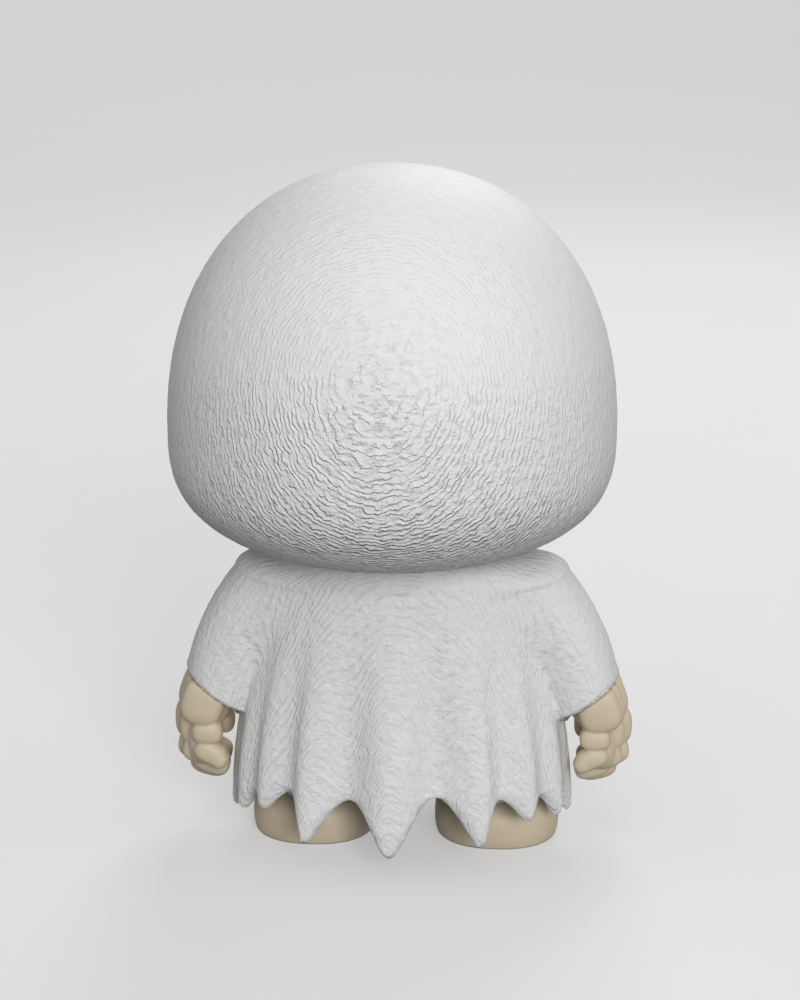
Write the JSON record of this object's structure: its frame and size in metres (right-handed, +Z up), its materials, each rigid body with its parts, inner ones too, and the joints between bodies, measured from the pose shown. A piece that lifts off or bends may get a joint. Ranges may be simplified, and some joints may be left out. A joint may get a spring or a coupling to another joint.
{
  "type": "ghost figurine",
  "caption": "Standing ghost figurine with a large domed head that turns, a ragged-hem robe, turning fists and two flat feet.",
  "frame": {"origin": "on the floor, midway between the feet and straight below the neck", "axes": "+Z up; the face looks along -Y and the back of the head along +Y; +X is the figure's left"},
  "size_m": [0.1236, 0.109, 0.1799],
  "materials": {
    "white_ghost": "white matte cast vinyl with a modelled, ridged surface",
    "cream_skin": "smooth cream matte cast vinyl",
    "black_gloss": "black glossy inserts",
    "joint_plastic": "plain light grey moulded joint plastic, hidden inside"
  },
  "bodies": {
    "robe": {"robe_shell": "white_ghost", "underside_panel": "white_ghost", "neck_spool": "joint_plastic", "wrist_peg_left": "joint_plastic", "wrist_peg_right": "joint_plastic", "foot_left": "cream_skin", "foot_right": "cream_skin", "leg_peg_left": "joint_plastic", "leg_peg_right": "joint_plastic"},
    "head": {"head_shell": "white_ghost", "eye_left": "black_gloss", "eye_right": "black_gloss", "mouth": "black_gloss"},
    "fist_left": {"fist_left": "cream_skin"},
    "fist_right": {"fist_right": "cream_skin"}
  },
  "joints": [
    {"name": "head_turn", "type": "hinge", "parent": "robe", "child": "head", "pos_m": [0, 0, 0.082], "axis": [0, 0, 1], "continuous": true},
    {"name": "fist_left_turn", "type": "hinge", "parent": "robe", "child": "fist_left", "pos_m": [0.0478, 0, 0.0416], "axis": [0.6018, 0, -0.7986], "range_deg": [-8, 14]},
    {"name": "fist_right_turn", "type": "hinge", "parent": "robe", "child": "fist_right", "pos_m": [-0.0478, 0, 0.0416], "axis": [0.6018, 0, 0.7986], "range_deg": [-8, 14]}
  ]
}
